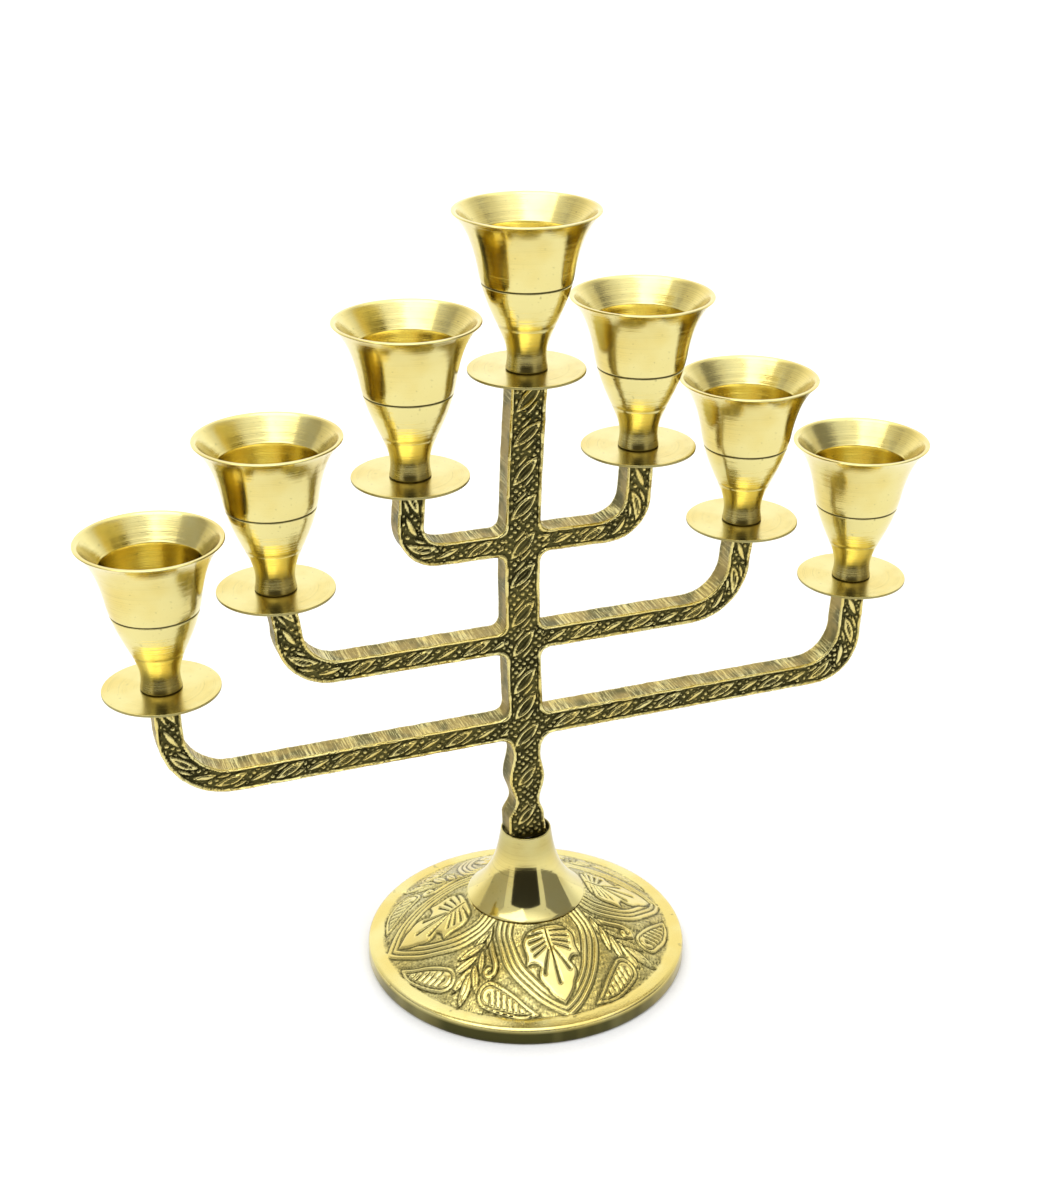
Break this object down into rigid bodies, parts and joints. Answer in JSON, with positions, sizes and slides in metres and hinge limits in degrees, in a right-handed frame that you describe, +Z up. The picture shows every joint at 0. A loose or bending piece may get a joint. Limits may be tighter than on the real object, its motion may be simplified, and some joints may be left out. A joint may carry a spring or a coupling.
{
  "type": "menorah",
  "caption": "Branched brass candelabrum: flat cast arms in level pairs carry turned candle cups over round drip pans, on a trumpet neck and engraved domed foot.",
  "frame": {"origin": "centre of the round foot, on the table plane", "axes": "+Z up, +X along the row of cups to the right seen from the front, +Y towards the back"},
  "size_m": [0.2736, 0.1066, 0.254],
  "materials": {
    "engraved_base": "polished, with dark patina in the engraving",
    "polished_brass": "polished with fine lathe lines",
    "turned_brass": "turned and polished",
    "satin_brass": "satin",
    "cast_brass": "sand cast, raised edges polished, recesses dark",
    "steel": "plain"
  },
  "bodies": {
    "stand": {"base_dome": "engraved_base", "neck_ferrule": "polished_brass", "arm_casting": "cast_brass", "tie_stud": "steel", "base_washer": "satin_brass", "base_nut": "satin_brass", "arm_stud_left_outer": "steel", "arm_stud_left_middle": "steel", "arm_stud_left_inner": "steel", "arm_stud_centre": "steel", "arm_stud_right_inner": "steel", "arm_stud_right_middle": "steel", "arm_stud_right_outer": "steel"},
    "pan_left_outer": {"drip_pan_left_outer": "satin_brass"},
    "cup_left_outer": {"candle_cup_left_outer": "turned_brass"},
    "pan_left_middle": {"drip_pan_left_middle": "satin_brass"},
    "cup_left_middle": {"candle_cup_left_middle": "turned_brass"},
    "pan_left_inner": {"drip_pan_left_inner": "satin_brass"},
    "cup_left_inner": {"candle_cup_left_inner": "turned_brass"},
    "pan_centre": {"drip_pan_centre": "satin_brass"},
    "cup_centre": {"candle_cup_centre": "turned_brass"},
    "pan_right_inner": {"drip_pan_right_inner": "satin_brass"},
    "cup_right_inner": {"candle_cup_right_inner": "turned_brass"},
    "pan_right_middle": {"drip_pan_right_middle": "satin_brass"},
    "cup_right_middle": {"candle_cup_right_middle": "turned_brass"},
    "pan_right_outer": {"drip_pan_right_outer": "satin_brass"},
    "cup_right_outer": {"candle_cup_right_outer": "turned_brass"}
  },
  "joints": [
    {"name": "unscrew_left_outer", "type": "hinge", "parent": "stand", "child": "pan_left_outer", "pos_m": [-0.115, 0, 0.121], "axis": [0, 0, 1], "range_deg": [0, 2250]},
    {"name": "climb_left_outer", "type": "slide", "parent": "pan_left_outer", "child": "cup_left_outer", "axis": [0, 0, 1], "range_m": [0, 0.00501]},
    {"name": "unscrew_left_middle", "type": "hinge", "parent": "stand", "child": "pan_left_middle", "pos_m": [-0.0789, 0, 0.1474], "axis": [0, 0, 1], "range_deg": [0, 2250]},
    {"name": "climb_left_middle", "type": "slide", "parent": "pan_left_middle", "child": "cup_left_middle", "axis": [0, 0, 1], "range_m": [0, 0.00501]},
    {"name": "unscrew_left_inner", "type": "hinge", "parent": "stand", "child": "pan_left_inner", "pos_m": [-0.0366, 0, 0.1775], "axis": [0, 0, 1], "range_deg": [0, 2250]},
    {"name": "climb_left_inner", "type": "slide", "parent": "pan_left_inner", "child": "cup_left_inner", "axis": [0, 0, 1], "range_m": [0, 0.00501]},
    {"name": "unscrew_centre", "type": "hinge", "parent": "stand", "child": "pan_centre", "pos_m": [0, 0, 0.2065], "axis": [0, 0, 1], "range_deg": [0, 2250]},
    {"name": "climb_centre", "type": "slide", "parent": "pan_centre", "child": "cup_centre", "axis": [0, 0, 1], "range_m": [0, 0.00501]},
    {"name": "unscrew_right_inner", "type": "hinge", "parent": "stand", "child": "pan_right_inner", "pos_m": [0.0366, 0, 0.1775], "axis": [0, 0, 1], "range_deg": [0, 2250]},
    {"name": "climb_right_inner", "type": "slide", "parent": "pan_right_inner", "child": "cup_right_inner", "axis": [0, 0, 1], "range_m": [0, 0.00501]},
    {"name": "unscrew_right_middle", "type": "hinge", "parent": "stand", "child": "pan_right_middle", "pos_m": [0.0734, 0, 0.1474], "axis": [0, 0, 1], "range_deg": [0, 2250]},
    {"name": "climb_right_middle", "type": "slide", "parent": "pan_right_middle", "child": "cup_right_middle", "axis": [0, 0, 1], "range_m": [0, 0.00501]},
    {"name": "unscrew_right_outer", "type": "hinge", "parent": "stand", "child": "pan_right_outer", "pos_m": [0.115, 0, 0.121], "axis": [0, 0, 1], "range_deg": [0, 2250]},
    {"name": "climb_right_outer", "type": "slide", "parent": "pan_right_outer", "child": "cup_right_outer", "axis": [0, 0, 1], "range_m": [0, 0.00501]}
  ],
  "couplings": [
    {"joint": "climb_left_outer", "follows": "unscrew_left_outer", "m_per_rad": 0.00012732},
    {"joint": "climb_left_middle", "follows": "unscrew_left_middle", "m_per_rad": 0.00012732},
    {"joint": "climb_left_inner", "follows": "unscrew_left_inner", "m_per_rad": 0.00012732},
    {"joint": "climb_centre", "follows": "unscrew_centre", "m_per_rad": 0.00012732},
    {"joint": "climb_right_inner", "follows": "unscrew_right_inner", "m_per_rad": 0.00012732},
    {"joint": "climb_right_middle", "follows": "unscrew_right_middle", "m_per_rad": 0.00012732},
    {"joint": "climb_right_outer", "follows": "unscrew_right_outer", "m_per_rad": 0.00012732}
  ]
}
